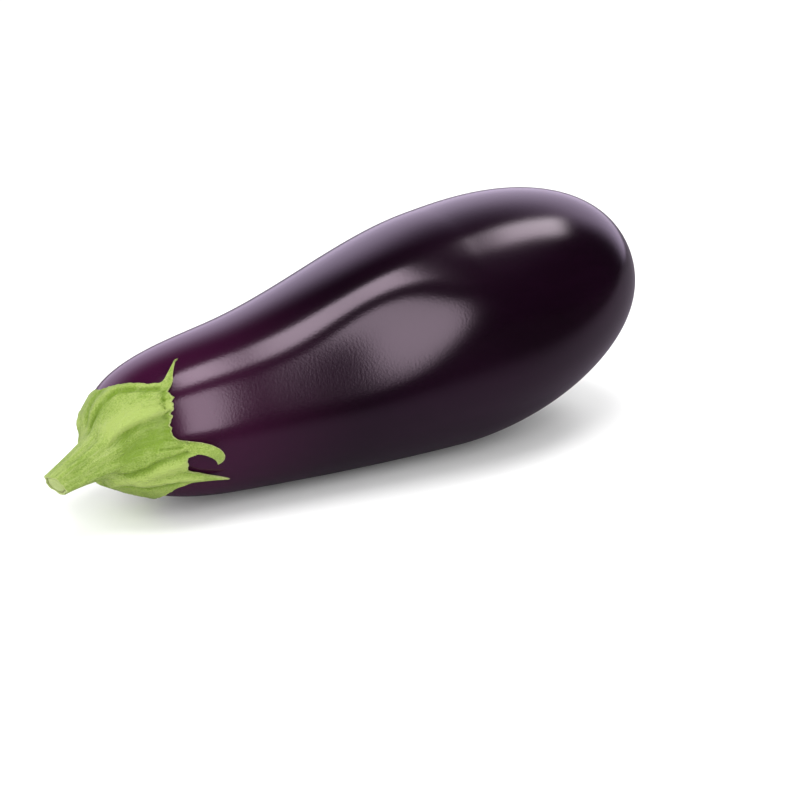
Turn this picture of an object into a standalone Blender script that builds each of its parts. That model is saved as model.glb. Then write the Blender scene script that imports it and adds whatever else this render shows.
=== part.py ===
"""An eggplant lying on its side, as picked: the fruit, its leafy calyx and the cut stem.

Metres, +Z up, +X from the stem end to the blossom end. The origin is on the ground, under the
middle of the whole thing. Each piece is one closed solid, and neighbours keep a small gap.
"""

import math

import bmesh
import bpy
import numpy as np
from mathutils import Vector

GAP = 0.0003  # clearance between neighbouring pieces

# The fruit, along t from 0 at the stem pole to 1 at the blossom pole
FRUIT_LENGTH = 0.200
NECK_RADIUS = 0.0226  # radius of the flank at the stem pole, before the shoulder rounds it off
SWELL_RADIUS = 0.0507  # the same at the blossom pole
PINCH = 0.57  # how far the flank is drawn in towards the neck: 0 is a plain cone
SHOULDER_SHARE = 0.225  # share of the length that the shoulder takes to round off
SHOULDER_POWER = 2.6  # 2 rounds off as an ellipse, more is squarer
BLOSSOM_SHARE = 0.70
BLOSSOM_POWER = 2.3
FRUIT_RINGS = 40
FRUIT_SIDES = 60

# The underside: it rests on a flat spot below the middle of its weight, and leaves the ground
# slowly along the flank and fast at the two ends
REST_T = 0.555
REST_DEPTH = 0.0006
ARCH = 0.018
UNDER_SHARE = 0.38
UNDER_POWER = 1.8
BLOSSOM_HEIGHT = 0.038  # of the blossom pole

# The calyx, drawn on the skin: an angle of 0 faces -Y and 90 degrees faces up, and a reach is
# a length along the skin from the stem pole
CROWN_OFFSET = 0.0074  # the stem stands this far from the pole
CROWN_ANGLE = -24.0
CROWN_RADIUS = 0.0070  # of the hole that the stem stands in
COLLAR_HEIGHT = 0.0022  # the calyx rises this far up the stem
COLLAR_SPREAD = 0.0050
CALYX_THICKNESS = 0.0012
CALYX_EDGE = 0.0007
WEB = (  # angle in degrees, reach of the margin between the lobes
    (136, 0.0180),
    (116, 0.0148),
    (96, 0.0154),
    (80, 0.0192),
    (50, 0.0296),
    (37, 0.0308),
    (17, 0.0278),
    (-2, 0.0314),
    (-15, 0.0318),
    (-28, 0.0335),
    (-60, 0.0282),
    (-98, 0.0295),
    (-124, 0.0240),
    (-150, 0.0300),
    (-176, 0.0220),
    (-203, 0.0290),
)
LOBES = (  # angle, half width, lean of the tip (degrees), length past the web, lift of the tip
    (48.0, 7.0, 15.0, 0.0066, 0.0022),
    (-2.0, 9.0, -10.0, 0.0104, 0.0025),
    (-28.0, 11.0, -3.0, 0.0116, 0.0006),
    (-98.0, 14.0, 4.0, 0.0080, 0.0000),
    (-150.0, 13.0, -6.0, 0.0100, 0.0010),
    (-203.0, 12.0, 5.0, 0.0100, 0.0010),
)
LOBE_POWER = 1.5  # over 1 hollows the sides of a lobe
LOBE_STEPS = (-1.0, -0.7, -0.45, -0.25, -0.1, 0.0, 0.1, 0.25, 0.45, 0.7, 1.0)
WEB_STEP = 5.0  # degrees between columns away from the lobes
CALYX_ROWS = 9

# The stem, a stub that flares into the calyx
STEM_LENGTH = 0.0162  # above the collar
STEM_AIM = (-0.93, -0.14, -0.34)  # where its cut end points
STEM_TIP_RADIUS = 0.0038
STEM_FLARE_POWER = 1.15
STEM_RINGS = 8
STEM_SIDES = 28


def body_radius(t):
    """Radius of the flank, as if it ran on to both poles."""
    return NECK_RADIUS + (SWELL_RADIUS - NECK_RADIUS) * (t - PINCH * np.sin(2 * np.pi * t) / (2 * np.pi))


def rounding(distance, share, power):
    """1 on the flank, falling to 0 at the pole, as a superellipse."""
    inside = np.clip(1 - distance / share, 0, 1)
    return (1 - inside**power) ** (1 / power)


def fruit_profile(t):
    """Place along X, radius, and height of the centreline."""
    shoulder = rounding(t, SHOULDER_SHARE, SHOULDER_POWER)
    radius = body_radius(t) * shoulder * rounding(1 - t, BLOSSOM_SHARE, BLOSSOM_POWER)
    clearance = ARCH * (t - REST_T) ** 2 - REST_DEPTH
    clearance += NECK_RADIUS * (1 - shoulder)
    clearance += BLOSSOM_HEIGHT * (1 - rounding(1 - t, UNDER_SHARE, UNDER_POWER))
    return (t - 0.5) * FRUIT_LENGTH, radius, radius + clearance


def eased_stations(count):
    """Stations from 0 to 1, closer together at the poles."""
    return 0.5 - 0.5 * np.cos(np.linspace(0, np.pi, count))


class Skin:
    """The fruit's surface, measured by the length along it from the stem pole."""

    def __init__(self):
        self.x, self.radius, self.height = fruit_profile(eased_stations(800))
        steps = np.hypot(np.diff(self.x), np.diff(self.radius))
        self.arc = np.concatenate(([0.0], np.cumsum(steps)))

    def at(self, arc, angle, lift=0.0):
        """The point `lift` outside the skin, at a length from the pole and an angle in radians."""
        x, radius, height = (np.interp(arc, self.arc, v) for v in (self.x, self.radius, self.height))
        along, out, rise = (
            np.interp(arc, self.arc, np.gradient(v, self.arc)) for v in (self.x, self.radius, self.height)
        )
        normal = Vector((-(out + rise * math.sin(angle)), -along * math.cos(angle), along * math.sin(angle)))
        foot = Vector((x, -radius * math.cos(angle), height + radius * math.sin(angle)))
        return foot + lift * normal.normalized()

    def around_crown(self, across, angle, lift):
        """The point `across` from the middle of the crown, in the direction of `angle`."""
        start = math.radians(CROWN_ANGLE)
        a = CROWN_OFFSET * math.cos(start) + across * math.cos(angle)
        b = CROWN_OFFSET * math.sin(start) + across * math.sin(angle)
        return self.at(math.hypot(a, b), math.atan2(b, a), lift)


def lobe_share(angle, lobe):
    """1 at the middle of a lobe, 0 outside it. Angles in degrees."""
    away = (angle - lobe[0] + 180) % 360 - 180
    return max(0.0, 1 - abs(away) / lobe[1]) ** LOBE_POWER


def web_reach(angle):
    """Reach of the margin between the lobes, easing from each WEB point to the next, all the way round."""
    knots = sorted((a % 360, reach) for a, reach in WEB)
    turned = angle % 360
    after = next((i for i, knot in enumerate(knots) if knot[0] > turned), 0)
    start, end = knots[after - 1], knots[after]
    share = ((turned - start[0]) % 360) / ((end[0] - start[0]) % 360)
    return start[1] + (end[1] - start[1]) * share * share * (3 - 2 * share)


def calyx_columns():
    """Angles of the calyx's columns: close together in the lobes, even between them."""
    angles = {round((lobe[0] + lobe[1] * step) % 360, 3) for lobe in LOBES for step in LOBE_STEPS}
    ordered = sorted(angles)
    for start, end in zip(ordered, ordered[1:] + [ordered[0] + 360]):
        pieces = math.ceil((end - start) / WEB_STEP)
        angles.update(round((start + (end - start) * k / pieces) % 360, 3) for k in range(pieces))
    return sorted(angles)


def calyx_point(skin, share, angle, outside):
    """A point of the calyx. share runs from 0 at the stem to 1 at the margin."""
    shares = [lobe_share(angle, lobe) for lobe in LOBES]
    reach = web_reach(angle) + sum(s * lobe[3] for s, lobe in zip(shares, LOBES))
    lean = sum(s * lobe[2] for s, lobe in zip(shares, LOBES)) * share**2
    tip_lift = sum(s * lobe[4] for s, lobe in zip(shares, LOBES)) * share**4
    turned = math.radians(angle + lean)
    start = math.radians(CROWN_ANGLE)
    across = CROWN_RADIUS + (reach - CROWN_RADIUS) * share
    shift = CROWN_OFFSET * (1 - share) ** 2
    a = shift * math.cos(start) + across * math.cos(turned)
    b = shift * math.sin(start) + across * math.sin(turned)
    lift = GAP + tip_lift
    if outside:
        collar = COLLAR_HEIGHT * math.exp(-(((across - CROWN_RADIUS) / COLLAR_SPREAD) ** 1.3))
        lift += CALYX_THICKNESS + (CALYX_EDGE - CALYX_THICKNESS) * share**3 + collar
    return skin.at(math.hypot(a, b), math.atan2(b, a), lift)


def add_ring(bm, points):
    return [bm.verts.new(point) for point in points]


def join_rings(bm, first, second):
    count = len(first)
    for i in range(count):
        j = (i + 1) % count
        bm.faces.new((first[i], first[j], second[j], second[i]))


def close_with(bm, ring, pole):
    for i, vert in enumerate(ring):
        bm.faces.new((vert, ring[(i + 1) % len(ring)], pole))


def finish(bm, name, colour, roughness):
    """Makes the piece's object, with faces out, smooth shading and its own material."""
    bmesh.ops.recalc_face_normals(bm, faces=bm.faces)
    mesh = bpy.data.meshes.new(name)
    bm.to_mesh(mesh)
    bm.free()
    mesh.shade_smooth()
    mesh.set_sharp_from_angle(angle=math.radians(40))
    material = bpy.data.materials.new(name)
    material.use_nodes = True
    shader = material.node_tree.nodes["Principled BSDF"]
    shader.inputs["Base Color"].default_value = (*colour, 1.0)
    shader.inputs["Roughness"].default_value = roughness
    shader.inputs["Metallic"].default_value = 0.0
    mesh.materials.append(material)
    piece = bpy.data.objects.new(name, mesh)
    bpy.context.collection.objects.link(piece)
    return piece


def make_fruit():
    """Rings along the fruit, closed at both poles, then pressed flat where it rests."""
    bm = bmesh.new()
    angles = [2 * math.pi * k / FRUIT_SIDES for k in range(FRUIT_SIDES)]
    rings = []
    for t in eased_stations(FRUIT_RINGS)[1:-1]:
        x, radius, height = fruit_profile(t)
        rings.append(add_ring(bm, [(x, -radius * math.cos(a), height + radius * math.sin(a)) for a in angles]))
    for first, second in zip(rings, rings[1:]):
        join_rings(bm, first, second)
    for ring, t in ((rings[0], 0.0), (rings[-1], 1.0)):
        x, _, height = fruit_profile(t)
        close_with(bm, ring, bm.verts.new((x, 0, height)))
    everything = list(bm.verts) + list(bm.edges) + list(bm.faces)
    cut = bmesh.ops.bisect_plane(bm, geom=everything, plane_co=(0, 0, 0), plane_no=(0, 0, 1), clear_inner=True)
    rim = [item for item in cut["geom_cut"] if isinstance(item, bmesh.types.BMEdge)]
    bmesh.ops.contextual_create(bm, geom=rim)
    return finish(bm, "fruit", (0.045, 0.012, 0.035), 0.18)


def make_calyx(skin):
    """A thin cap on the shoulder with pointed lobes and a collar round the stem."""
    bm = bmesh.new()
    columns = calyx_columns()
    rows = [k / CALYX_ROWS for k in range(CALYX_ROWS + 1)]
    inner = [add_ring(bm, [calyx_point(skin, row, angle, False) for angle in columns]) for row in rows]
    outer = [add_ring(bm, [calyx_point(skin, row, angle, True) for angle in columns]) for row in rows]
    loops = inner + outer[::-1]
    for first, second in zip(loops, loops[1:] + loops[:1]):
        join_rings(bm, first, second)
    return finish(bm, "calyx", (0.30, 0.42, 0.08), 0.5)


def make_stem(skin):
    """A stub that stands in the calyx's hole, bends towards its aim and ends in a flat cut."""
    bm = bmesh.new()
    angles = [2 * math.pi * k / STEM_SIDES for k in range(STEM_SIDES)]
    base = CROWN_RADIUS - GAP
    top_lift = GAP + CALYX_THICKNESS + COLLAR_HEIGHT
    rings = []
    for across, lift in ((base / 2, GAP), (base, GAP), (base, top_lift)):
        rings.append(add_ring(bm, [skin.around_crown(across, a, lift) for a in angles]))
    foot = skin.around_crown(0, 0, top_lift)
    upright = (foot - skin.around_crown(0, 0, 0)).normalized()
    side = skin.around_crown(base, 0, top_lift) - foot
    tip = foot + Vector(STEM_AIM).normalized() * STEM_LENGTH
    bend = foot + upright * STEM_LENGTH / 2
    for k in range(1, STEM_RINGS + 1):
        v = k / STEM_RINGS
        middle = foot * (1 - v) ** 2 + bend * 2 * v * (1 - v) + tip * v**2
        heading = ((bend - foot) * (1 - v) + (tip - bend) * v).normalized()
        first = (side - heading * side.dot(heading)).normalized()
        second = heading.cross(first)
        if second.dot(skin.around_crown(base, math.pi / 2, top_lift) - foot) < 0:
            second.negate()
        radius = STEM_TIP_RADIUS + (base - STEM_TIP_RADIUS) * (1 - v) ** STEM_FLARE_POWER
        spokes = [first * math.cos(a) + second * math.sin(a) for a in angles]
        rings.append(add_ring(bm, [middle + spoke * radius for spoke in spokes]))
    for first_ring, second_ring in zip(rings, rings[1:]):
        join_rings(bm, first_ring, second_ring)
    close_with(bm, rings[0], bm.verts.new(skin.around_crown(0, 0, GAP)))
    close_with(bm, rings[-1], bm.verts.new(tip))
    return finish(bm, "stem", (0.28, 0.40, 0.09), 0.5)


def stand_on_origin(pieces):
    """Parents the pieces to one empty that puts the middle of their box over the origin."""
    corners = np.array([v.co for piece in pieces for v in piece.data.vertices])
    low, high = corners.min(axis=0), corners.max(axis=0)
    root = bpy.data.objects.new("eggplant", None)
    bpy.context.collection.objects.link(root)
    root.location = (-(low[0] + high[0]) / 2, -(low[1] + high[1]) / 2, 0)
    for piece in pieces:
        piece.parent = root
    print("box, mm:", np.round(low * 1000, 2), np.round(high * 1000, 2), "moved by", root.location[:])


def main():
    for item in list(bpy.data.objects):
        bpy.data.objects.remove(item)
    skin = Skin()
    stand_on_origin([make_fruit(), make_calyx(skin), make_stem(skin)])


main()
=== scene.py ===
# %% [markdown]
# # An eggplant on its side
#
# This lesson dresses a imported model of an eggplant. The model's three solids are the fruit, its
# leafy calyx and the stub of stem that was left when it was picked. They set every size and place
# here. The fruit is made by Geometry Nodes from one rule, the calyx and the stem are drawn on the
# fruit's skin in mesh code, and each finish is built from nodes.

# %% Load the model
import math
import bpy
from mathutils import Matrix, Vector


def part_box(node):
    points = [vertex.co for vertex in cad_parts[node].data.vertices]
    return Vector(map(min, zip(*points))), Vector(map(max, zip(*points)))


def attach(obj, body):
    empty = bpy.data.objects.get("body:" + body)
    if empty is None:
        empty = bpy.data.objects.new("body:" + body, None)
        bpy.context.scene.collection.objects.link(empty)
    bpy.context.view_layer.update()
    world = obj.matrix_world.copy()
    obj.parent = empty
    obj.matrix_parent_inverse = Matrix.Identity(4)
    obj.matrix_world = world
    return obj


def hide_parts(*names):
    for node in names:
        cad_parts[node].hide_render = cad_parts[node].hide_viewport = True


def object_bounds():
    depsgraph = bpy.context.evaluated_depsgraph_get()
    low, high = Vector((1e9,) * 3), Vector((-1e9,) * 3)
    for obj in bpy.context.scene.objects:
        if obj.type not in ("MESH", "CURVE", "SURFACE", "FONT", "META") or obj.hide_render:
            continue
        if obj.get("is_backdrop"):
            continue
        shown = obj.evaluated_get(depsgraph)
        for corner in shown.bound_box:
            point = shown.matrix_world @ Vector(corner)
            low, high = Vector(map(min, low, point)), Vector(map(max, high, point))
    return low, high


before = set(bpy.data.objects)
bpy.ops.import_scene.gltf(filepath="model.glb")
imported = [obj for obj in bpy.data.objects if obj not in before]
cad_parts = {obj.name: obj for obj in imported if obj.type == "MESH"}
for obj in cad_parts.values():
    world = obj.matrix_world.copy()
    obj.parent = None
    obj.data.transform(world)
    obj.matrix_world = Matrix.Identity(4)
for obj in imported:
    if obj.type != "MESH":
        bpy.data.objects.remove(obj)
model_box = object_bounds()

from types import SimpleNamespace

import bmesh
import bpy
import numpy as np
from mathutils import Matrix, Vector

fruit_low, fruit_high = (np.array(corner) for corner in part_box("fruit"))
FRUIT_LENGTH = float(fruit_high[0] - fruit_low[0])
FRUIT_START = float(fruit_low[0])
print("fruit, mm:", np.round((fruit_high - fruit_low) * 1000, 1))

# %% [markdown]
# ## The rule for the fruit
#
# An eggplant is nearly round in section all along, so its shape is a radius and the height of its
# middle, both as a function of `t`, which runs from 0 at the stem pole to 1 at the blossom pole.
# It could be modelled as a stretched and sculpted ball, but a rule keeps the long flank free of
# stray dents, which matters on a skin this glossy. The flank is a cone that is drawn in at the
# neck, and each end is rounded off as a superellipse. Two shallow swellings and a hollow are added
# to one side, because no real flank is quite even.
#
# The same rule is needed twice: as numbers, to lay the calyx on the skin, and as nodes, to make
# the fruit. So it is written once, with `sine`, `cosine` and `limit` that take either kind.


# %% Fields: sums that turn into Math nodes
class Field:
    """A value that varies over a mesh. Sums written with it become Math nodes in its tree."""

    def __init__(self, tree, socket):
        self.tree = tree
        self.socket = socket

    def math(self, operation, *values):
        """A Math node on these values, which are numbers or fields."""
        node = self.tree.nodes.new("ShaderNodeMath")
        node.operation = operation
        for socket, value in zip(node.inputs, values):
            if isinstance(value, Field):
                self.tree.links.new(value.socket, socket)
            else:
                socket.default_value = float(value)
        return Field(self.tree, node.outputs[0])

    def __add__(self, other):
        return self.math("ADD", self, other)

    def __sub__(self, other):
        return self.math("SUBTRACT", self, other)

    def __mul__(self, other):
        return self.math("MULTIPLY", self, other)

    def __truediv__(self, other):
        return self.math("DIVIDE", self, other)

    def __pow__(self, other):
        return self.math("POWER", self, other)

    def __rsub__(self, other):
        return self.math("SUBTRACT", other, self)

    def __neg__(self):
        return self.math("MULTIPLY", self, -1.0)

    __radd__ = __add__
    __rmul__ = __mul__


def sine(value):
    return value.math("SINE", value) if isinstance(value, Field) else np.sin(value)


def cosine(value):
    return value.math("COSINE", value) if isinstance(value, Field) else np.cos(value)


def limit(value, low, high):
    if isinstance(value, Field):
        raised = value.math("MAXIMUM", value, low)
        return raised.math("MINIMUM", raised, high)
    return np.clip(value, low, high)


def half_turns(angle):
    """The same angle, from half a turn back to half a turn on."""
    if isinstance(angle, Field):
        return angle.math("WRAP", angle, math.pi, -math.pi)
    return np.mod(angle + np.pi, 2 * np.pi) - np.pi


def bell(value):
    """1 where the value is 0, falling away smoothly to either side."""
    return value.math("EXPONENT", -(value * value)) if isinstance(value, Field) else np.exp(-(value**2))


# %% The rule itself
FRUIT_SIZES = SimpleNamespace(
    length=FRUIT_LENGTH,
    start=FRUIT_START,
    neck=0.0226,  # radius of the flank at the stem pole, before the shoulder rounds it off
    swell=0.0507,  # the same at the blossom pole
    unevenness=0.006,  # share of the radius by which no real fruit is quite round
)
PINCH = 0.57
SHOULDER_SHARE, SHOULDER_POWER = 0.225, 2.6
BLOSSOM_SHARE, BLOSSOM_POWER = 0.70, 2.3
REST_T, REST_DEPTH, ARCH = 0.555, 0.0006, 0.018
UNDER_SHARE, UNDER_POWER, BLOSSOM_HEIGHT = 0.38, 1.8, 0.038
SWELLINGS = (  # height in metres, t and its width, angle in degrees and its width
    (-0.0015, 0.42, 0.10, 28, 25),
    (0.0016, 0.63, 0.10, 25, 15),
    (0.0013, 0.46, 0.10, 62, 22),
)


def rounding(distance, share, power):
    """1 on the flank, falling to 0 at the pole."""
    inside = limit(1 - distance / share, 0.0, 1.0)
    return limit(1 - inside**power, 0.0, 1.0) ** (1 / power)


def fruit_profile(t, sizes):
    """Place along X, radius, and height of the middle, at t."""
    shoulder = rounding(t, SHOULDER_SHARE, SHOULDER_POWER)
    drawn_in = t - PINCH / (2 * math.pi) * sine(2 * math.pi * t)
    flank = sizes.neck + (sizes.swell - sizes.neck) * drawn_in
    radius = flank * shoulder * rounding(1 - t, BLOSSOM_SHARE, BLOSSOM_POWER)
    clearance = ARCH * (t - REST_T) ** 2 - REST_DEPTH + sizes.neck * (1 - shoulder)
    clearance = clearance + BLOSSOM_HEIGHT * (1 - rounding(1 - t, UNDER_SHARE, UNDER_POWER))
    return sizes.start + sizes.length * t, radius, radius + clearance


def fruit_unevenness(t, angle, sizes):
    """Factor on the radius: faint long flats and swellings, none at the poles or under the belly."""
    wave = 0.5 * sine(2 * angle + 3.0 * t + 0.6) + 0.3 * sine(3 * angle - 5.0 * t - 1.1)
    wave = wave + 0.2 * sine(5 * angle + 2.0 * t + 2.0)
    above = limit(1.6 + 2.0 * sine(angle), 0.0, 1.0)
    return 1 + sizes.unevenness * wave * above * sine(math.pi * t)


def fruit_point(t, angle, sizes):
    """x, y, z of the skin. An angle of 0 faces -Y, and a quarter turn faces up."""
    x, radius, height = fruit_profile(t, sizes)
    radius = radius * fruit_unevenness(t, angle, sizes)
    for rise, at_t, t_width, at_angle, angle_width in SWELLINGS:
        turned = half_turns(angle - math.radians(at_angle)) / math.radians(angle_width)
        radius = radius + rise * bell((t - at_t) / t_width) * bell(turned)
    y = -radius * cosine(angle)
    z = height + radius * sine(angle)
    return x, y, limit(z, 0.0, 1.0)


STATIONS = 4001  # values of t at which the profile is measured, closer together at the poles
stations = 0.5 - 0.5 * np.cos(np.pi * np.linspace(0, 1, STATIONS))
profile_x, profile_radius, profile_height = fruit_profile(stations, FRUIT_SIZES)
print("widest at t =", stations[np.argmax(profile_radius)], "radius, mm:", profile_radius.max() * 1000)

# %% [markdown]
# ## The fruit, by Geometry Nodes
#
# A flat grid of points is the simplest thing to bend into a fruit: one side of the grid becomes
# the length, the other goes round. The tree reads each point's place in the grid as `t` and an
# angle, sends them through the rule above, and merges the seam and the two poles.


# %% Helpers for Geometry Nodes
def tree_with_inputs(name, inputs):
    """A Geometry Nodes tree with these named inputs, and its Group Input and Group Output."""
    tree = bpy.data.node_groups.new(name, "GeometryNodeTree")
    for label, kind in inputs:
        tree.interface.new_socket(label, in_out="INPUT", socket_type=kind)
    tree.interface.new_socket("Geometry", in_out="OUTPUT", socket_type="NodeSocketGeometry")
    return tree, tree.nodes.new("NodeGroupInput"), tree.nodes.new("NodeGroupOutput")


def place(tree, kind, inputs=None, **settings):
    """A node of this kind. Inputs are named, and are values, sockets or fields."""
    node = tree.nodes.new(kind)
    for label, value in settings.items():
        setattr(node, label, value)
    for label, value in (inputs or {}).items():
        socket = node.inputs[label]
        if isinstance(value, Field):
            value = value.socket
        if isinstance(value, bpy.types.NodeSocket):
            tree.links.new(value, socket)
        else:
            socket.default_value = value
    return node


def grow(name, tree, values):
    """Runs a tree with these values of its inputs, and returns the result as a plain mesh object."""
    source = bpy.data.objects.new(name, bpy.data.meshes.new(name))
    bpy.context.collection.objects.link(source)
    modifier = source.modifiers.new(name, "NODES")
    modifier.node_group = tree
    for item in tree.interface.items_tree:
        if item.in_out == "INPUT":
            modifier[item.identifier] = values[item.name]
    bpy.context.view_layer.update()
    evaluated = source.evaluated_get(bpy.context.evaluated_depsgraph_get())
    mesh = bpy.data.meshes.new_from_object(evaluated)
    source.modifiers.clear()
    source.data = mesh
    print(name, "has", len(mesh.polygons), "faces")
    return source


# %% Materials, empty for now
def new_material(name):
    material = bpy.data.materials.new(name)
    material.use_nodes = True
    return material


skin_material = new_material("eggplant_skin")
leaf_material = new_material("calyx_leaf")
pith_material = new_material("stem_pith")
cork_material = new_material("blossom_cork")

# %% The fruit's tree
MERGE_DISTANCE = 0.000002  # closes the seam and the poles, and nothing else

tree, given, result = tree_with_inputs(
    "Fruit from its rule",
    [
        ("Length", "NodeSocketFloat"),
        ("Start", "NodeSocketFloat"),
        ("Neck radius", "NodeSocketFloat"),
        ("Swell radius", "NodeSocketFloat"),
        ("Unevenness", "NodeSocketFloat"),
        ("Rings", "NodeSocketInt"),
        ("Sides", "NodeSocketInt"),
        ("Finish", "NodeSocketMaterial"),
    ],
)
grid = place(
    tree,
    "GeometryNodeMeshGrid",
    {
        "Size X": 1.0,
        "Size Y": 1.0,
        "Vertices X": given.outputs["Rings"],
        "Vertices Y": given.outputs["Sides"],
    },
)
grid_place = tree.nodes.new("GeometryNodeInputPosition").outputs[0]
spot = place(tree, "ShaderNodeSeparateXYZ", {"Vector": grid_place})
even_share = Field(tree, spot.outputs["X"]) + 0.5
t_field = 0.5 - 0.5 * cosine(math.pi * even_share)
angle_field = 2 * math.pi * (Field(tree, spot.outputs["Y"]) + 0.5)
sizes = SimpleNamespace(
    length=Field(tree, given.outputs["Length"]),
    start=Field(tree, given.outputs["Start"]),
    neck=Field(tree, given.outputs["Neck radius"]),
    swell=Field(tree, given.outputs["Swell radius"]),
    unevenness=Field(tree, given.outputs["Unevenness"]),
)
x, y, z = fruit_point(t_field, angle_field, sizes)
target = place(tree, "ShaderNodeCombineXYZ", {"X": x, "Y": y, "Z": z})
moved = place(
    tree,
    "GeometryNodeSetPosition",
    {"Geometry": grid.outputs["Mesh"], "Position": target.outputs["Vector"]},
)
merged = place(
    tree,
    "GeometryNodeMergeByDistance",
    {"Geometry": moved.outputs["Geometry"], "Distance": MERGE_DISTANCE},
)
smooth = place(tree, "GeometryNodeSetShadeSmooth", {"Geometry": merged.outputs["Geometry"]})
real = place(tree, "GeometryNodeRealizeInstances", {"Geometry": smooth.outputs["Geometry"]})
finished = place(
    tree,
    "GeometryNodeSetMaterial",
    {"Geometry": real.outputs["Geometry"], "Material": given.outputs["Finish"]},
)
tree.links.new(finished.outputs["Geometry"], result.inputs["Geometry"])

# %% Grow the fruit
FRUIT_RINGS, FRUIT_SIDES = 300, 281  # points of the grid each way


def face_outwards(mesh):
    """Turns a closed mesh's faces out if they enclose a negative volume."""
    bm = bmesh.new()
    bm.from_mesh(mesh)
    open_edges = sum(1 for edge in bm.edges if len(edge.link_faces) != 2)
    if bm.calc_volume(signed=True) < 0:
        bmesh.ops.reverse_faces(bm, faces=bm.faces)
        bm.to_mesh(mesh)
    print(mesh.name, "volume, cm3:", round(bm.calc_volume() * 1e6, 2), "open edges:", open_edges)
    bm.free()


fruit = grow(
    "eggplant_fruit",
    tree,
    {
        "Length": FRUIT_SIZES.length,
        "Start": FRUIT_SIZES.start,
        "Neck radius": FRUIT_SIZES.neck,
        "Swell radius": FRUIT_SIZES.swell,
        "Unevenness": FRUIT_SIZES.unevenness,
        "Rings": FRUIT_RINGS,
        "Sides": FRUIT_SIDES,
        "Finish": skin_material,
    },
)
face_outwards(fruit.data)
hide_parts("fruit")
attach(fruit, "root")

# %% [markdown]
# ## A ruler laid on the skin
#
# The calyx hugs the shoulder, so it is drawn on the skin itself: each of its points is a length
# along the skin from the stem pole, an angle round it, and a height above it. `skin_point` turns
# those three numbers into a place, for whole arrays of points at once.

# %% Points on the skin
skin_steps = np.hypot(np.diff(profile_x), np.diff(profile_radius))
skin_length = np.concatenate(([0.0], np.cumsum(skin_steps)))
skin_slopes = [np.gradient(v, skin_length) for v in (profile_x, profile_radius, profile_height)]


def skin_point(length, angle, lift):
    """Places `lift` outside the skin, at a length from the stem pole and an angle, all arrays."""
    t = np.interp(length, skin_length, stations)
    foot = np.stack(fruit_point(t, angle, FRUIT_SIZES), axis=-1)
    along, out, rise = (np.interp(length, skin_length, slope) for slope in skin_slopes)
    normal = np.stack(
        (-(out + rise * np.sin(angle)), -along * np.cos(angle), along * np.sin(angle)), axis=-1
    )
    normal /= np.linalg.norm(normal, axis=-1, keepdims=True)
    return foot + lift[..., None] * normal


def chart_point(a, b, lift):
    """The same, from flat coordinates with the stem pole in the middle."""
    return skin_point(np.hypot(a, b), np.arctan2(b, a), lift)

# %% [markdown]
# ## The outline of the calyx
#
# A calyx is a star of pointed lobes with a web between them, all one fleshy leaf. Its outline is a
# reach at every angle: the web eases through its knots, and each lobe adds a blade that flares
# into the web at its root and narrows to its tip. The blades are bent sideways later, each along
# its own middle line. Lobes could be cut from a flat sheet and wrapped on, but drawing them
# straight on the skin keeps their roots seated.

# %% Web and lobes
CROWN_OFFSET, CROWN_ANGLE = 0.0074, math.radians(-24.0)  # where the stem stands on the skin
CROWN_RADIUS = 0.0070
GAP = 0.0003
WEB = (  # angle in degrees, reach in mm, curl of the margin in degrees
    (136, 15.0, 3),
    (116, 14.6, 2),
    (96, 14.8, 2),
    (80, 18.2, 3),
    (66, 23.0, 6),
    (56, 26.8, 10),
    (48, 29.4, 25),
    (40, 30.6, 40),
    (30, 29.4, 45),
    (20, 27.8, 35),
    (11, 28.0, 25),
    (0, 31.0, 25),
    (-13, 31.9, 25),
    (-27, 32.0, 15),
    (-46, 29.2, 12),
    (-62, 28.0, 10),
    (-98, 29.5, 4),
    (-124, 24.0, 10),
    (-150, 29.8, 10),
    (-172, 22.0, 12),
    (-193, 26.0, 8),
)


def lobe(angle, root, length, blade, taper, plus, minus, bend, bend_from, bend_to, lift, arch=0.0):
    """A lobe, with lengths and half widths in mm and angles in degrees.

    plus and minus widen its two flanks at the root. Its middle line turns by bend, from the share
    bend_from of its length to the share bend_to. lift raises its tip, and arch its middle.
    """
    return SimpleNamespace(**locals())


LOBES = (
    lobe(51, 27.5, 11.5, 1.2, 1.0, 3.0, 1.2, 62, 0.0, 0.4, 2.2),
    lobe(1, 31.4, 16.5, 1.9, 3.0, 2.4, 2.6, -122, 0.12, 1.0, 0.4, 2.4),
    lobe(-26.5, 32.0, 13.0, 3.2, 0.8, 1.6, 3.0, -10, 0.0, 1.0, 0.8),
    lobe(-98, 29.5, 9.0, 4.0, 0.9, 3.0, 3.0, 6, 0.0, 1.0, 0.3),
    lobe(-150, 29.8, 11.0, 3.2, 0.9, 3.0, 3.0, -14, 0.0, 1.0, 1.2),
    lobe(-193, 26.0, 11.0, 3.0, 0.9, 3.0, 3.0, 12, 0.0, 1.0, 1.2),
)
FLARE_LENGTH = 2.2  # mm in which the flare at a root dies away


def through_knots(angle, column):
    """A WEB column at these angles in degrees, on a smooth curve that closes on itself."""
    knots = sorted((row[0] % 360, row[column]) for row in WEB)
    places = np.array([knot[0] for knot in knots])
    values = np.array([knot[1] for knot in knots], dtype=float)
    places = np.concatenate((places[-2:] - 360, places, places[:2] + 360))
    values = np.concatenate((values[-2:], values, values[:2]))
    slopes = np.gradient(values, places)
    turned = np.mod(angle, 360)
    after = np.clip(np.searchsorted(places, turned, side="right"), 1, len(places) - 1)
    before = after - 1
    gap = places[after] - places[before]
    k = (turned - places[before]) / gap
    value = (2 * k**3 - 3 * k**2 + 1) * values[before] + (3 * k**2 - 2 * k**3) * values[after]
    return value + gap * ((k**3 - 2 * k**2 + k) * slopes[before] + (k**3 - k**2) * slopes[after])


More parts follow.
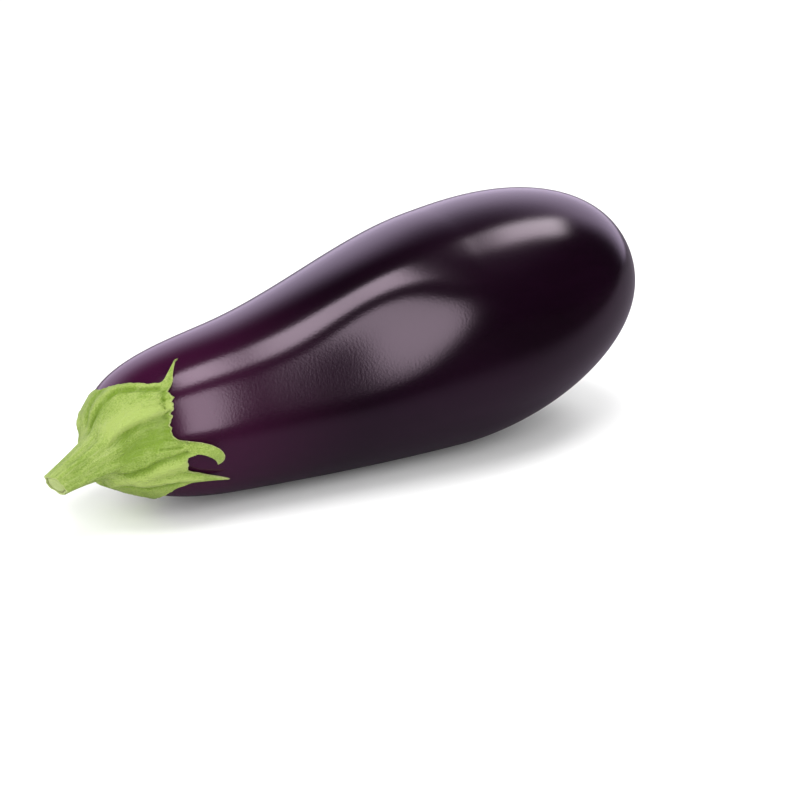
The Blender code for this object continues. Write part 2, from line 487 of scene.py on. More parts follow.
def lobe_extent(angle, each):
    """How far in mm this lobe takes the margin past the web at these angles."""
    away = np.radians(np.mod(angle - each.angle + 180, 360) - 180) * each.root
    past = np.linspace(0, each.length, 200)
    flanks = []
    for flare in (each.plus, each.minus):
        half = each.blade * (1 - (past / each.length) ** each.taper)
        half = half + flare * np.exp(-past / FLARE_LENGTH) * (1 - past / each.length)
        flanks.append(np.interp(np.abs(away), half[::-1], past[::-1], left=each.length, right=0.0))
    return np.where(away > 0, flanks[0], flanks[1])


def columns_for_lobes(count):
    """Angles in degrees all the way round, closer together in the lobes."""
    fine = np.linspace(0, 360, 7201)
    density = 1 + 3.0 * sum((lobe_extent(fine, each) / each.length) ** 0.3 for each in LOBES)
    travelled = np.concatenate(([0.0], np.cumsum((density[1:] + density[:-1]) / 2)))
    return np.interp(np.arange(count) / count, travelled / travelled[-1], fine)


COLUMNS = 480
LIP_ANGLE, LIP_WIDTH = 32, 13  # of the crumpled lip between two lobes, in degrees
column_angle = columns_for_lobes(COLUMNS)
extents = [lobe_extent(column_angle, each) for each in LOBES]
in_lip = bell((column_angle - LIP_ANGLE) / LIP_WIDTH)  # 1 in the middle of the lip
ragged = 0.12 * np.sin(np.radians(column_angle * 47)) + 0.10 * np.sin(np.radians(column_angle * 83) + 1.0)
ragged *= 1 + 2.0 * in_lip
web = (through_knots(column_angle, 1) + ragged) / 1000
reach = web + sum(extents) / 1000
in_lobes = np.clip(sum(extents) / 3.0, 0, 1)
curl = np.radians(through_knots(column_angle, 2)) * (1 - 0.8 * in_lobes)
print("reach of the calyx, mm:", round(reach.min() * 1000, 1), "to", round(reach.max() * 1000, 1))

# %% [markdown]
# ## Folds and ribs
#
# Ribs run from the stem to the lobes, and the leaf between them is puffed in one place and sunken
# in another. Each fold is a line on the skin with a height and a width to either side of it, so a
# ridge can fall off gently on one side and steeply on the other. Small wrinkles come from a sum of
# waves with a fixed seed, which, unlike a noise texture, can be used in mesh code.

# %% Folds
FOLDS = (  # height and the widths left and right of the line, in mm; then its (mm, degrees) points
    (1.9, 4.5, 1.1, (
        (4, -60), (6.3, -14), (9.9, 13), (12.6, 22), (16, 28), (19.3, 30), (23, 31), (26.5, 31)
    )),
    (-1.3, 2.6, 2.6, ((8, -40), (11, -18), (15, -4), (19, 6), (23, 12), (25, 16))),
    (-0.7, 0.8, 1.6, ((8, -20), (10.5, 4), (13, 15), (16, 22), (19.3, 25), (23, 27), (26, 28))),
    (-1.0, 0.8, 0.8, (
        (9, -70), (12.6, -36), (16.7, -29), (20.5, -20), (22.9, -13), (25, -10), (29, -6), (31, -4)
    )),
    (1.0, 1.4, 2.6, ((8, -88), (12.6, -50), (16.7, -39), (20.5, -30), (25, -19), (29, -14), (31, -12))),
    (-0.9, 0.8, 0.8, ((12.9, -66), (16.4, -52), (22.5, -48), (25, -42), (27.5, -37), (30, -33))),
    (0.7, 1.4, 1.6, ((20, -40), (25, -33), (30, -28), (36, -27))),
    (-1.0, 0.7, 0.8, (
        (3.2, 64), (7, 73), (10.9, 75), (14.6, 73.5), (17.8, 70), (21.2, 61), (25, 54), (27.5, 51)
    )),
    (0.35, 1.6, 1.2, ((7, 88), (10.9, 86), (14.6, 81), (18.5, 75), (22, 66), (26, 57))),
    (-1.1, 0.7, 0.6, ((28.2, 47), (27.4, 39), (26.8, 31), (26.6, 24), (27.0, 18), (28.2, 12))),
    (-0.5, 0.5, 0.5, ((22, 40), (26.5, 39))),
    (-0.5, 0.5, 0.5, ((20.5, 19), (26.5, 19))),
    (-0.4, 0.5, 0.5, ((22, 10), (28.0, 8))),
    (-0.4, 0.5, 0.5, ((24, 0), (29.5, 1))),
    (-0.6, 1.0, 1.0, ((4, 120), (8, 112), (12, 100), (14, 96))),
    (0.3, 3.0, 3.0, ((8, -98), (20, -98), (37, -97))),
    (0.8, 2.0, 2.0, ((8, -150), (20, -150), (38, -151))),
    (0.8, 2.0, 2.0, ((8, 167), (20, 167), (36, 167))),
)


def from_pole(length, angle):
    """Flat coordinates at a length and an angle from the stem pole."""
    return length * math.cos(angle), length * math.sin(angle)


def fold_relief(a, b):
    """Height that the folds add, in metres, at flat coordinates round the stem pole."""
    total = np.zeros_like(a)
    for height, left, right, line in FOLDS:
        corners = [from_pole(length / 1000, math.radians(angle)) for length, angle in line]
        nearest, side = np.full(a.shape, 1.0), np.zeros_like(a)
        for (a0, b0), (a1, b1) in zip(corners, corners[1:]):
            run, rise = a1 - a0, b1 - b0
            share = np.clip(((a - a0) * run + (b - b0) * rise) / (run**2 + rise**2), 0, 1)
            da, db = a - a0 - share * run, b - b0 - share * rise
            away = np.hypot(da, db)
            side = np.where(away < nearest, run * db - rise * da, side)
            nearest = np.minimum(away, nearest)
        width = np.where(side > 0, left, right) / 1000
        total += height / 1000 * np.exp(-((nearest / width) ** 2))
    return total


def waves(a, b, size, seed):
    """A smooth random field over flat coordinates, about -1 to 1, with swells of about `size`."""
    rng = np.random.default_rng(seed)
    total = np.zeros_like(a)
    for _ in range(14):
        direction = rng.uniform(0, 2 * np.pi)
        pitch = 2 * np.pi / (size * rng.uniform(0.7, 1.6))
        phase = rng.uniform(0, 2 * np.pi)
        total += np.sin(pitch * (a * np.cos(direction) + b * np.sin(direction)) + phase)
    return total / 5


def bend_lobes(a, b, across):
    """Bends each lobe sideways along its middle line. Returns a, b and the lift there."""
    lift = np.zeros_like(a)
    for extent, each in zip(extents, LOBES):
        past = np.clip(across * 1000 - each.root, 0, each.length) * (extent > 0)
        steps = np.linspace(0, each.length, 120)
        start = math.radians(each.angle)
        turned = math.radians(each.bend) * np.clip(
            (steps / each.length - each.bend_from) / (each.bend_to - each.bend_from), 0, 1
        )
        strays = (np.cos(start + turned) - math.cos(start), np.sin(start + turned) - math.sin(start))
        shift = np.cumsum(np.stack(strays), axis=1) * ((steps[1] - steps[0]) / 1000)
        now = np.interp(past, steps, turned)
        sideways = -a * math.sin(start) + b * math.cos(start)
        a = a + np.interp(past, steps, shift[0]) + sideways * (math.sin(start) - np.sin(start + now))
        b = b + np.interp(past, steps, shift[1]) + sideways * (np.cos(start + now) - math.cos(start))
        share = past / each.length
        lift = lift + (each.lift * share**2 + each.arch * np.sin(np.pi * share**0.9)) / 1000
    return a, b, lift


# %% [markdown]
# ## The calyx and the stem, in one
#
# The calyx and the stem are one growth: the stem's ridges run on into the ribs. Two meshes would
# show a joint, so one closed mesh stands for both solids. It is built of rings that all have the
# same columns: out from the middle of the cut, down the stem, over a bridge onto the skin, out to
# the margin, round its edge, and back underneath.

# %% Rings of the stem
STEM_LENGTH, STEM_AIM = 0.0162, np.array((-0.93, -0.14, -0.27))
CUT_FACING = np.array((-0.82, -0.28, -0.50))  # the cut is a little oblique
STEM_TIP, STEM_FLARE = 0.0039, 1.15
COLLAR_TOP = 0.0037  # of the stem's foot above the skin
UPRIGHT_SHARE = 0.35  # of the stem's length, before it leans towards its aim


def crown_point(across, angle, lift):
    """Places round the stem's foot, at a distance from its middle."""
    a = CROWN_OFFSET * math.cos(CROWN_ANGLE) + across * np.cos(angle)
    b = CROWN_OFFSET * math.sin(CROWN_ANGLE) + across * np.sin(angle)
    return chart_point(a, b, np.full_like(a, lift))


turn = np.radians(column_angle)
foot = crown_point(0.0, np.zeros(1), COLLAR_TOP)[0]
upright = foot - crown_point(0.0, np.zeros(1), 0.0)[0]
upright /= np.linalg.norm(upright)
foot_side = crown_point(0.005, np.zeros(1), COLLAR_TOP)[0] - foot
foot_rise = crown_point(0.005, np.full(1, np.pi / 2), COLLAR_TOP)[0] - foot
stem_tip = foot + STEM_AIM / np.linalg.norm(STEM_AIM) * STEM_LENGTH
stem_bend = foot + upright * STEM_LENGTH * UPRIGHT_SHARE


def stem_frame(v):
    """Middle of the stem and two unit directions across it, at v from 0 at the foot to 1 at the cut."""
    middle = foot * (1 - v) ** 2 + stem_bend * 2 * v * (1 - v) + stem_tip * v**2
    heading = (stem_bend - foot) * (1 - v) + (stem_tip - stem_bend) * v
    heading = heading / np.linalg.norm(heading) * (1 - v**2) + CUT_FACING * v**2
    heading /= np.linalg.norm(heading)
    first = foot_side - heading * foot_side.dot(heading)
    first /= np.linalg.norm(first)
    second = np.cross(heading, first)
    return middle, first, second if second.dot(foot_rise) > 0 else -second, heading


def stem_ring(v, share=1.0, sink=0.0):
    """One ring of the stem. share draws it in, and sink moves it down into the cut."""
    middle, first, second, heading = stem_frame(v)
    radius = STEM_TIP + (CROWN_RADIUS - STEM_TIP) * (1 - v) ** STEM_FLARE
    ridges = 1 + 0.085 * np.cos(5 * turn + 0.9) + 0.04 * np.cos(9 * turn + 2.0 + v)
    ridges = 1 + (ridges - 1) * min(1.0, share**2)
    spokes = np.cos(turn)[:, None] * first + np.sin(turn)[:, None] * second
    return middle - heading * sink + spokes * (radius * share * ridges)[:, None]


# %% Rings of the calyx
CALYX_THICKNESS, MARGIN_THICKNESS = 0.0013, 0.0008
COLLAR_HEIGHT, COLLAR_SPREAD = 0.0022, 0.0050
COLLAR_RUN, COLLAR_POWER = 0.024, 1.3  # length of leaf that u stands for at the collar, and its fall
CURL_START = 0.80
WRINKLE_SIZE, WRINKLE_HEIGHT = 0.0042, 0.00009
CRUMPLE_SIZE, CRUMPLE_HEIGHT, LIP_CRUMPLE_HEIGHT = 0.0015, 0.00006, 0.00045
below = bell(half_turns(turn + math.radians(95)) / math.radians(45))  # 1 under the stem
hugging = bell(half_turns(turn - math.radians(130)) / math.radians(50))  # 1 where the leaf lies flattest


def calyx_ring(u, side):
    """One ring of the calyx, at u from 0 at the stem to 1 at the margin; side is 0 under, 1 on top."""
    flat = CROWN_RADIUS + (web - CROWN_RADIUS) * min(u, CURL_START)
    strip = reach - CROWN_RADIUS - (web - CROWN_RADIUS) * CURL_START
    bent = curl * max(0.0, (u - CURL_START) / (1 - CURL_START))
    tight = np.maximum(curl, 0.0001)
    across = flat + strip * np.sin(bent) / tight * (u > CURL_START)
    rise = strip * (1 - np.cos(bent)) / tight
    thickness = (CALYX_THICKNESS + (MARGIN_THICKNESS - CALYX_THICKNESS) * u**3) * (1 - 0.5 * hugging)
    shift = CROWN_OFFSET * (1 - u) ** 2
    across = across - side * thickness * np.sin(bent)
    a = shift * math.cos(CROWN_ANGLE) + across * np.cos(turn)
    b = shift * math.sin(CROWN_ANGLE) + across * np.sin(turn)
    crumpled = in_lip * np.clip((u - 0.70) / 0.15, 0, 1)
    crumple = WRINKLE_HEIGHT * waves(a, b, WRINKLE_SIZE, 3)
    crumple = crumple + (CRUMPLE_HEIGHT + LIP_CRUMPLE_HEIGHT * crumpled) * waves(a, b, CRUMPLE_SIZE, 5)
    relief = fold_relief(a, b) + crumple
    collar = COLLAR_HEIGHT * (1 + 0.6 * below - 0.5 * hugging)
    collar_spread = COLLAR_SPREAD * (1 + 0.5 * below)
    collar = collar * np.exp(-((u * COLLAR_RUN / collar_spread) ** COLLAR_POWER))
    puff = side * (thickness + relief * (1 - u**12) + collar)
    puff = puff + (1 - side) * 0.25 * np.maximum(relief, 0)
    a, b, lift = bend_lobes(a, b, across)
    lowest = 0.0002 + side * 0.0004  # keeps both sides of the leaf off the skin
    return chart_point(a, b, np.maximum(GAP + rise + lift + puff * np.cos(bent), lowest)), relief


CUT_SHAPE = (  # share of the radius, depth below the rim in mm
    (0.0, 0.10),
    (0.2, 0.08),
    (0.45, 0.12),
    (0.66, 0.16),
    (0.74, 0.42),
    (0.79, 0.38),
    (0.87, 0.05),
    (0.94, 0.0),
    (0.985, 0.06),
)
rings, stem_share, rim_share, relief_rows = [], [], [], []


def add_ring(points, stem, rim, relief=None):
    """Adds a ring, with its shares of stem and of rim, and the relief that the finish reads."""
    rings.append(points)
    stem_share.append(np.full(COLUMNS, float(stem)))
    rim_share.append(np.full(COLUMNS, float(rim)))
    relief_rows.append(np.zeros(COLUMNS) if relief is None else relief)


STEM_RINGS, BRIDGE_RINGS = 28, 12
TOP_RINGS, TOP_CURL_RINGS = 48, 46
UNDER_RINGS, UNDER_CURL_RINGS = 24, 30
BRIDGE_FROM, BRIDGE_TO = 0.10, 0.10
RIM_FROM_TOP, RIM_FROM_UNDER = 0.965, 0.93  # where the pale rim starts on each side
EDGE_SWELL = 0.24  # how far the edge rounds outwards, as a share of its last strip
for share, depth in CUT_SHAPE[1:]:
    add_ring(stem_ring(1.0, share, depth / 1000), 1, share)
for v in np.linspace(0.985, BRIDGE_FROM, STEM_RINGS):
    add_ring(stem_ring(v), 1, 0)
bridge_start = stem_ring(BRIDGE_FROM)
start_heading = bridge_start - stem_ring(BRIDGE_FROM + 0.02)
bridge_end, bridge_relief = calyx_ring(BRIDGE_TO, 1)
end_heading = calyx_ring(BRIDGE_TO + 0.01, 1)[0] - bridge_end
span = np.linalg.norm(bridge_end - bridge_start, axis=-1, keepdims=True)
start_heading *= span / np.linalg.norm(start_heading, axis=-1, keepdims=True)
end_heading *= span / np.linalg.norm(end_heading, axis=-1, keepdims=True)
for k in np.linspace(0, 1, BRIDGE_RINGS + 2)[1:-1]:
    point = (2 * k**3 - 3 * k**2 + 1) * bridge_start + (k**3 - 2 * k**2 + k) * start_heading
    point = point + (3 * k**2 - 2 * k**3) * bridge_end + (k**3 - k**2) * end_heading
    add_ring(point, 1 - k, 0, bridge_relief * k**2)
top_steps = np.linspace(BRIDGE_TO, CURL_START, TOP_RINGS)
top_steps = np.concatenate((top_steps, np.linspace(CURL_START, 1, TOP_CURL_RINGS)[1:]))
for u in top_steps:
    points, relief = calyx_ring(u, 1)
    add_ring(points, 0, max(0.0, (u - RIM_FROM_TOP) / (1 - RIM_FROM_TOP)), relief)
for side in (0.93, 0.75, 0.5, 0.25, 0.07):
    edge = calyx_ring(1.0, side)[0]
    inner = calyx_ring(0.97, side)[0]
    add_ring(edge + (edge - inner) * EDGE_SWELL * math.sin(side * math.pi), 0, 1)
under_steps = np.linspace(1, CURL_START, UNDER_CURL_RINGS)
under_steps = np.concatenate((under_steps, np.linspace(CURL_START, 0, UNDER_RINGS)[1:]))
for u in under_steps:
    add_ring(calyx_ring(u, 0)[0], 0, max(0.0, (u - RIM_FROM_UNDER) / (1 - RIM_FROM_UNDER)))
for share in (0.6, 0.25):
    add_ring(crown_point(CROWN_RADIUS * share, turn, GAP), 0, 0)
cut_middle = stem_ring(1.0, 0.0, CUT_SHAPE[0][1] / 1000)[0]
under_middle = crown_point(0.0, np.zeros(1), GAP)[0]
print(len(rings), "rings of", COLUMNS)

# %% Sew the rings into one mesh


def sew(name, rings, first_pole, last_pole):
    """A closed mesh through the rings, with a point at each end."""
    count = len(rings[0])
    points = np.concatenate([*rings, first_pole[None], last_pole[None]])
    here = np.arange(count)
    after = (here + 1) % count
    quads = []
    for row in range(len(rings) - 1):
        upper, lower = row * count, (row + 1) * count
        quads.append(np.stack((upper + here, upper + after, lower + after, lower + here), axis=1))
    first, last = len(points) - 2, len(points) - 1
    base = (len(rings) - 1) * count
    caps = [(first, int(b), int(a)) for a, b in zip(here, after)]
    caps += [(base + int(a), base + int(b), last) for a, b in zip(here, after)]
    mesh = bpy.data.meshes.new(name)
    mesh.from_pydata(points.tolist(), [], np.concatenate(quads).tolist() + caps)
    mesh.shade_smooth()
    made = bpy.data.objects.new(name, mesh)
    bpy.context.collection.objects.link(made)
    face_outwards(mesh)
    return made


def keep_attribute(mesh, name, kind, values):
    """Keeps values on the mesh's points for the finish to read."""
    layer = mesh.attributes.new(name, kind, "POINT")
    field = "vector" if kind == "FLOAT_VECTOR" else "value"
    layer.data.foreach_set(field, np.asarray(values, dtype=float).ravel())


calyx = sew("eggplant_calyx_and_stem", rings, cut_middle, under_middle)
ring_points = np.array(rings)
travel = np.cumsum(np.linalg.norm(np.diff(ring_points, axis=0, prepend=ring_points[:1]), axis=-1), axis=0)
GRAIN_RADIUS = 0.012  # of the tube on which the fibres are drawn, however wide the leaf is
round_tube = np.broadcast_to(turn, travel.shape)
grain = np.stack((GRAIN_RADIUS * np.cos(round_tube), GRAIN_RADIUS * np.sin(round_tube), travel), axis=-1)
poles = np.zeros((2, 3))
keep_attribute(calyx.data, "grain", "FLOAT_VECTOR", np.concatenate((grain.reshape(-1, 3), poles)))
keep_attribute(calyx.data, "stem", "FLOAT", np.append(np.array(stem_share).ravel(), (1, 0)))
keep_attribute(calyx.data, "rim", "FLOAT", np.append(np.array(rim_share).ravel(), (0, 0)))
keep_attribute(calyx.data, "relief", "FLOAT", np.append(np.array(relief_rows).ravel() * 1000, (0, 0)))
calyx.data.materials.append(leaf_material)
calyx.data.materials.append(pith_material)
cut_faces = (len(CUT_SHAPE) - 2) * COLUMNS
cut_pole = len(calyx.data.vertices) - 2
for face in calyx.data.polygons:
    at_pole = len(face.vertices) == 3 and max(face.vertices) == cut_pole
    face.material_index = 1 if at_pole or face.index < cut_faces else 0
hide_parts("calyx", "stem")
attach(calyx, "root")

# %% [markdown]
# ## The blossom scar
#
# Where the flower dropped off, a dry, corky dot is left at the far end. It is a thin lens laid on
# the skin with the same ruler, ragged round its edge and crazed across the top.

# %% Blossom scar
SCAR_RADIUS, SCAR_HEIGHT, SCAR_SINK = 0.0040, 0.0005, 0.0006
scar_turn = np.linspace(0, 2 * np.pi, 120, endpoint=False)
scar_edge = 1 + 0.10 * np.sin(3 * scar_turn + 1) + 0.06 * np.sin(7 * scar_turn)
scar_reach = SCAR_RADIUS * (scar_edge + 0.03 * np.sin(17 * scar_turn))


def scar_ring(share, on_top):
    """One ring of the scar, on top or under the skin, at a share of the way to its edge."""
    away = scar_reach * share
    crazed = 0.00013 * waves(away * np.cos(scar_turn), away * np.sin(scar_turn), 0.0016, 9)
    top = np.maximum((SCAR_HEIGHT + crazed) * (1 - share**4), 0.00004)
    lift = top if on_top else np.full_like(away, -SCAR_SINK)
    return skin_point(skin_length[-1] - away, scar_turn, lift)


shares = np.linspace(0.04, 1, 22)
scar_rings = [scar_ring(share, True) for share in shares] + [scar_ring(share, False) for share in (1, 0.5, 0.1)]
scar = sew("blossom_scar", scar_rings, scar_ring(0, True)[0], scar_ring(0, False)[0])
scar.data.materials.append(cork_material)
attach(scar, "root")

# %% [markdown]
# ## Finishes
#
# Each finish is a Principled shader fed by noise on the object's own coordinates. `Speckle` is
# shared by all of them, so it is a node group: fine grain over soft clouds.

# %% A helper and the shared group


def shader_of(material):
    return material.node_tree.nodes["Principled BSDF"]


def build_speckle():
    group = bpy.data.node_groups.new("Speckle", "ShaderNodeTree")
    for label, kind, value in (
        ("Vector", "NodeSocketVector", None),
        ("Grain scale", "NodeSocketFloat", 1500.0),
        ("Cloud scale", "NodeSocketFloat", 120.0),
        ("Grain share", "NodeSocketFloat", 0.5),
    ):
        socket = group.interface.new_socket(label, in_out="INPUT", socket_type=kind)
        if value is not None:
            socket.default_value = value
    group.interface.new_socket("Value", in_out="OUTPUT", socket_type="NodeSocketFloat")
    given = group.nodes.new("NodeGroupInput")
    result = group.nodes.new("NodeGroupOutput")
    vector = given.outputs["Vector"]
    grain_noise = place(
        group, "ShaderNodeTexNoise", {"Vector": vector, "Scale": given.outputs["Grain scale"], "Detail": 3.0}
    )
    cloud_noise = place(
        group, "ShaderNodeTexNoise", {"Vector": vector, "Scale": given.outputs["Cloud scale"], "Detail": 4.0}
    )
    share = Field(group, given.outputs["Grain share"])
    grains = Field(group, grain_noise.outputs["Fac"])
    clouds = Field(group, cloud_noise.outputs["Fac"])
    value = clouds + (grains - clouds) * share
    group.links.new(value.socket, result.inputs["Value"])
    return group


speckle_group = build_speckle()


def speckle(tree, vector, grain_scale, cloud_scale, grain_share):
    """A Speckle node in a material, and its value as a field."""
    node = place(tree, "ShaderNodeGroup", node_tree=speckle_group)
    tree.links.new(vector, node.inputs["Vector"])
    node.inputs["Grain scale"].default_value = grain_scale
    node.inputs["Cloud scale"].default_value = cloud_scale
    node.inputs["Grain share"].default_value = grain_share
    return Field(tree, node.outputs["Value"])


def ramp(value, low, high):
    """0 below low, 1 above high, smooth between."""
    node = place(
        value.tree,
        "ShaderNodeMapRange",
        {"Value": value, "From Min": low, "From Max": high},
        interpolation_type="SMOOTHSTEP",
    )
    return Field(value.tree, node.outputs["Result"])


def blend(tree, share, first, second):
    """A colour between two, each a colour or a socket."""
    node = place(tree, "ShaderNodeMix", data_type="RGBA")
    tree.links.new(share.socket, node.inputs[0])
    for socket, colour in ((node.inputs[6], first), (node.inputs[7], second)):
        if isinstance(colour, bpy.types.NodeSocket):
            tree.links.new(colour, socket)
        else:
            socket.default_value = (*colour, 1.0)
    return node.outputs[2]


def bump(tree, height, distance, strength, before=None):
    inputs = {"Height": height, "Distance": distance, "Strength": strength}
    if before is not None:
        inputs["Normal"] = before
    return place(tree, "ShaderNodeBump", inputs).outputs["Normal"]


# %% [markdown]
# ## The skin
#
# The skin is almost black with purple in it, redder next to the calyx, under a waxy gloss with a
# faint pink tint. The base makes nearly all of the gloss, and a very thin coat sharpens it a
# little. Very fine leathery wrinkles break up the edges of each reflection. They are far too fine
# to model, so they are bump.

# %% Skin
tree = skin_material.node_tree
skin = shader_of(skin_material)
place_on_object = tree.nodes.new("ShaderNodeTexCoord").outputs["Object"]
along = Field(tree, place(tree, "ShaderNodeSeparateXYZ", {"Vector": place_on_object}).outputs["X"])
stretched = place(tree, "ShaderNodeMapping", {"Vector": place_on_object, "Scale": (0.35, 1.0, 1.0)}).outputs[0]
clouds = speckle(tree, stretched, 500.0, 45.0, 0.15)
near_calyx = 1 - ramp(along + 0.03 * clouds, FRUIT_START + 0.020, FRUIT_START + 0.095)
dark = blend(tree, ramp(clouds, 0.35, 0.65), (0.0034, 0.0005, 0.0028), (0.0054, 0.0008, 0.0045))
coloured = blend(tree, near_calyx, dark, (0.0290, 0.0030, 0.0180))
tree.links.new(coloured, skin.inputs["Base Color"])
skin.inputs["Roughness"].default_value = 0.17
skin.inputs["Specular Tint"].default_value = (1.0, 0.76, 0.95, 1.0)
skin.inputs["Coat Weight"].default_value = 0.06
skin.inputs["Coat Roughness"].default_value = 0.08
wrinkle_noise = place(
    tree, "ShaderNodeTexNoise", {"Vector": place_on_object, "Scale": 1500.0, "Detail": 3.0}
)
wrinkles = bump(tree, wrinkle_noise.outputs["Fac"], 0.00002, 1.0)
tree.links.new(wrinkles, skin.inputs["Normal"])
tree.links.new(wrinkles, skin.inputs["Coat Normal"])

# %% [markdown]
# ## The leaf
#
# The calyx is matte and fibrous: clouds of yellow green and deep green, painted shade that turns the grooves
# of the folds deeper green and painted light that turns their ridges yellower, fine pale fibres that run
# outwards from the stem, and a dry, paler margin. The fibres read the `grain` attribute, which follows
# the columns of the mesh, the painted shade reads `relief`, and the margin reads `rim`.

# %% Leaf


def attribute(tree, name, output="Fac"):
    return place(tree, "ShaderNodeAttribute", attribute_name=name).outputs[output]


tree = leaf_material.node_tree
leaf = shader_of(leaf_material)
place_on_object = tree.nodes.new("ShaderNodeTexCoord").outputs["Object"]
fibre_vector = place(
    tree, "ShaderNodeMapping", {"Vector": attribute(tree, "grain", "Vector"), "Scale": (1.0, 1.0, 0.12)}
).outputs[0]
fibres = speckle(tree, fibre_vector, 2600.0, 500.0, 0.5)
clouds = speckle(tree, place_on_object, 2000.0, 130.0, 0.6)
rim = Field(tree, attribute(tree, "rim"))
relief = Field(tree, attribute(tree, "relief"))
# Clouds of deep and yellow green, plus painted shade from `relief`: grooves deeper green, ridges yellower
green = blend(tree, ramp(clouds + 0.22 * relief, 0.32, 0.70), (0.150, 0.245, 0.014), (0.29, 0.38, 0.080))
stem = Field(tree, attribute(tree, "stem"))
green = blend(tree, ramp(fibres, 0.45, 0.65) * (0.25 + 0.35 * stem), green, (0.36, 0.43, 0.15))
green = blend(tree, (1 - ramp(fibres, 0.30, 0.48)) * 0.5 * stem, green, (0.12, 0.19, 0.015))
green = blend(tree, ramp(rim + 1.2 * (clouds - 0.5), 0.75, 1.25) * 0.8, green, (0.44, 0.42, 0.22))
tree.links.new(green, leaf.inputs["Base Color"])
leaf.inputs["Roughness"].default_value = 0.55
surface = bump(tree, fibres, 0.0001, 0.5)
surface = bump(tree, clouds, 0.0010, 1.0, surface)
tree.links.new(surface, leaf.inputs["Normal"])

# %% Pith of the cut
tree = pith_material.node_tree
pith = shader_of(pith_material)
place_on_object = tree.nodes.new("ShaderNodeTexCoord").outputs["Object"]
clouds = speckle(tree, place_on_object, 3000.0, 400.0, 0.5)
colour = blend(tree, ramp(clouds, 0.3, 0.7), (0.25, 0.32, 0.08), (0.38, 0.45, 0.18))
from_middle = Field(tree, attribute(tree, "rim"))
vessels = ramp(from_middle, 0.66, 0.76) * (1 - ramp(from_middle, 0.78, 0.90))
colour = blend(tree, vessels, colour, (0.17, 0.20, 0.05))
tree.links.new(colour, pith.inputs["Base Color"])
pith.inputs["Roughness"].default_value = 0.6
tree.links.new(bump(tree, clouds, 0.0002, 0.6), pith.inputs["Normal"])

# %% Cork of the scar
tree = cork_material.node_tree
cork = shader_of(cork_material)
place_on_object = tree.nodes.new("ShaderNodeTexCoord").outputs["Object"]
clouds = speckle(tree, place_on_object, 3000.0, 700.0, 0.4)
colour = blend(tree, ramp(clouds, 0.35, 0.65), (0.05, 0.025, 0.014), (0.15, 0.09, 0.05))
tree.links.new(colour, cork.inputs["Base Color"])
cork.inputs["Roughness"].default_value = 0.75
tree.links.new(bump(tree, clouds, 0.0003, 0.8), cork.inputs["Normal"])

# %% [markdown]
# ## Studio
#
# A floor that is white to the camera, a bright wall behind, and four lights a metre away. In the
# skin's gloss the floor is painted dark, dim near the fruit and nearly black further in front: a
# painted reflection that puts painted shade on the lower flank. Three soft boxes, a tall one in
# front, one overhead and a smaller one behind on the right, are each seen in the gloss as their own
# shape, with edges that fade like cloth over a lamp. A wide fill on the left lights the calyx and
# the floor, and is kept out of the gloss.

# %% Camera
CAMERA_AZIMUTH, CAMERA_ELEVATION = math.radians(-35.0), math.radians(20.0)
CAMERA_DISTANCE = 0.681
fruit_middle = (fruit_low[0] + fruit_high[0]) / 2
camera_aim = Vector((fruit_middle - 0.0111, -0.0313, 0.030))
camera_back = Vector(
    (
        math.sin(CAMERA_AZIMUTH) * math.cos(CAMERA_ELEVATION),
        -math.cos(CAMERA_AZIMUTH) * math.cos(CAMERA_ELEVATION),
        math.sin(CAMERA_ELEVATION),
    )
)
camera = bpy.data.objects.new("camera", bpy.data.cameras.new("camera"))
bpy.context.collection.objects.link(camera)
camera.data.lens = 100
camera.data.sensor_width = 36
camera.location = camera_aim + camera_back * CAMERA_DISTANCE
camera.rotation_euler = (-camera_back).to_track_quat("-Z", "Y").to_euler()
bpy.context.scene.camera = camera

# %% Floor
FLOOR_HALF = 3.0
floor_mesh = bpy.data.meshes.new("studio_floor")
corners = [(-1, -1, 0), (1, -1, 0), (1, 1, 0), (-1, 1, 0)]
floor_mesh.from_pydata([Vector(corner) * FLOOR_HALF for corner in corners], [], [(0, 1, 2, 3)])
floor = bpy.data.objects.new("studio_floor", floor_mesh)
bpy.context.collection.objects.link(floor)
floor_material = new_material("studio_floor")
floor_mesh.materials.append(floor_material)
paper = shader_of(floor_material)
paper.inputs["Roughness"].default_value = 1.0
paper.inputs["Specular IOR Level"].default_value = 0.0
tree = floor_material.node_tree
# Painted reflection: glossy rays see the floor dim grey near the fruit and almost black in front of it, which
# paints shade on the skin's lower flank
glossy_look = Field(tree, tree.nodes.new("ShaderNodeLightPath").outputs["Is Glossy Ray"])
place_on_floor = tree.nodes.new("ShaderNodeTexCoord").outputs["Object"]
floor_place = place(tree, "ShaderNodeSeparateXYZ", {"Vector": place_on_floor})
far_in_front = 1 - ramp(Field(tree, floor_place.outputs["Y"]), -0.14, -0.06)
in_gloss = blend(tree, far_in_front, (0.21, 0.18, 0.22), (0.02, 0.02, 0.02))
tree.links.new(blend(tree, glossy_look, (0.9, 0.9, 0.9), in_gloss), paper.inputs["Base Color"])
floor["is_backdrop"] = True

# %% Lights
lit_middle = Vector((0.0, 0.0, 0.04))  # the point that every light faces


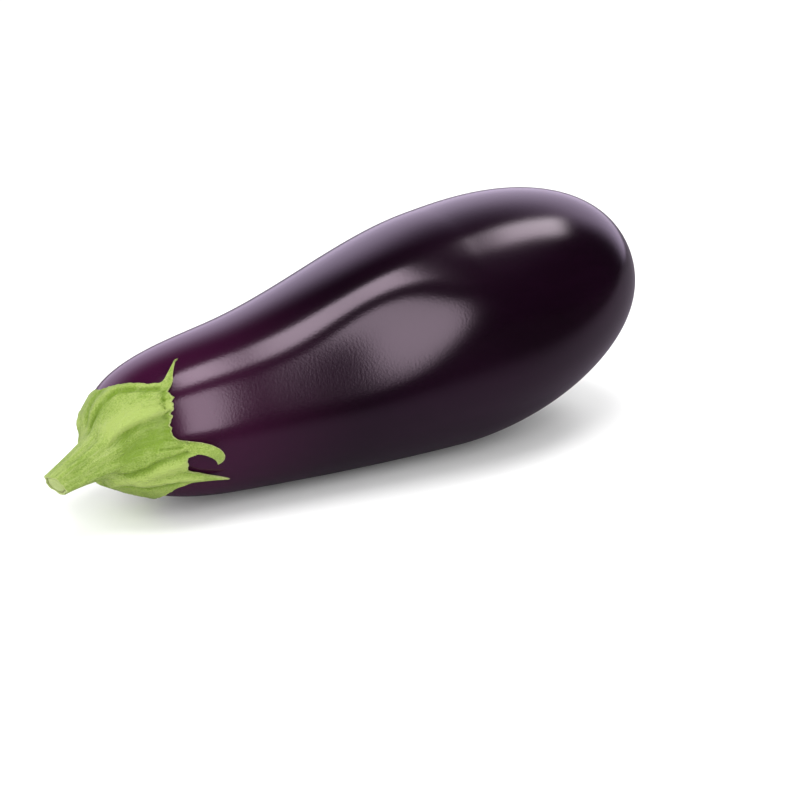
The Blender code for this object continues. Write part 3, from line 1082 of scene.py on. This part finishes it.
def soft_box(name, towards, width, height, fade, radiance, in_gloss=True):
    """A rectangular light a metre away that faces the object. Its width runs along X.

    It fades out over this distance to either side of its edge, like cloth stretched over a lamp.
    """
    out = Vector(towards).normalized()
    across = Vector((1, 0, 0)) - out * out.x
    across.normalize()
    data = bpy.data.lights.new(name, "AREA")
    data.shape = "RECTANGLE"
    data.size, data.size_y = width + 2 * fade, height + 2 * fade
    data.energy = radiance * math.pi * data.size * data.size_y
    data.use_nodes = True
    tree = data.node_tree
    place_on_cloth = tree.nodes.new("ShaderNodeNewGeometry").outputs["Parametric"]
    cloth = place(tree, "ShaderNodeSeparateXYZ", {"Vector": place_on_cloth})
    strength = 1.0
    for side, size in (("X", data.size), ("Y", data.size_y)):
        off_middle = Field(tree, cloth.outputs[side]) - 0.5
        from_edge = 0.5 - off_middle.math("ABSOLUTE", off_middle)
        strength = ramp(from_edge * size, 0.0, 2 * fade) * strength
    tree.links.new(strength.socket, tree.nodes["Emission"].inputs["Strength"])
    lamp = bpy.data.objects.new(name, data)
    bpy.context.collection.objects.link(lamp)
    lamp.visible_glossy = in_gloss
    turned = Matrix((across, out.cross(across), out)).transposed()
    lamp.matrix_world = Matrix.Translation(lit_middle + out) @ turned.to_4x4()
    print(name, "power", round(data.energy, 2), "W")


soft_box("front_box", (-0.06, -0.91, 0.41), 0.30, 1.04, 0.05, 4.9)
soft_box("top_box", (0.02, -0.20, 0.98), 0.28, 0.42, 0.05, 7.4)
soft_box("rear_box", (0.61, 0.02, 0.79), 0.38, 0.27, 0.07, 6.8)
soft_box("left_fill", (-0.90, -0.05, 0.42), 0.90, 0.90, 0.05, 2.6, in_gloss=False)

# %% Room
world = bpy.data.worlds.new("studio_room")
bpy.context.scene.world = world
world.use_nodes = True
tree = world.node_tree
background = tree.nodes["Background"]
direction = tree.nodes.new("ShaderNodeTexCoord").outputs["Generated"]
parts = place(tree, "ShaderNodeSeparateXYZ", {"Vector": direction})
behind = ramp(Field(tree, parts.outputs["Y"]), -0.02, 0.32)
low_down = 1 - ramp(Field(tree, parts.outputs["Z"]), 0.45, 0.90)
in_gloss = 0.012 + 1.34 * behind * low_down
glossy = Field(tree, tree.nodes.new("ShaderNodeLightPath").outputs["Is Glossy Ray"])
strength = 0.9 + (in_gloss - 0.9) * glossy
tree.links.new(strength.socket, background.inputs["Strength"])
tree.links.new(blend(tree, glossy, (1.0, 1.0, 1.0), (1.0, 0.85, 1.14)), background.inputs["Color"])
bpy.context.scene.view_settings.view_transform = "Standard"

# %% Sizes of what is shown
visual_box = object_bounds()
print("visual box, mm:", [np.round(np.array(corner) * 1000, 1).tolist() for corner in visual_box])
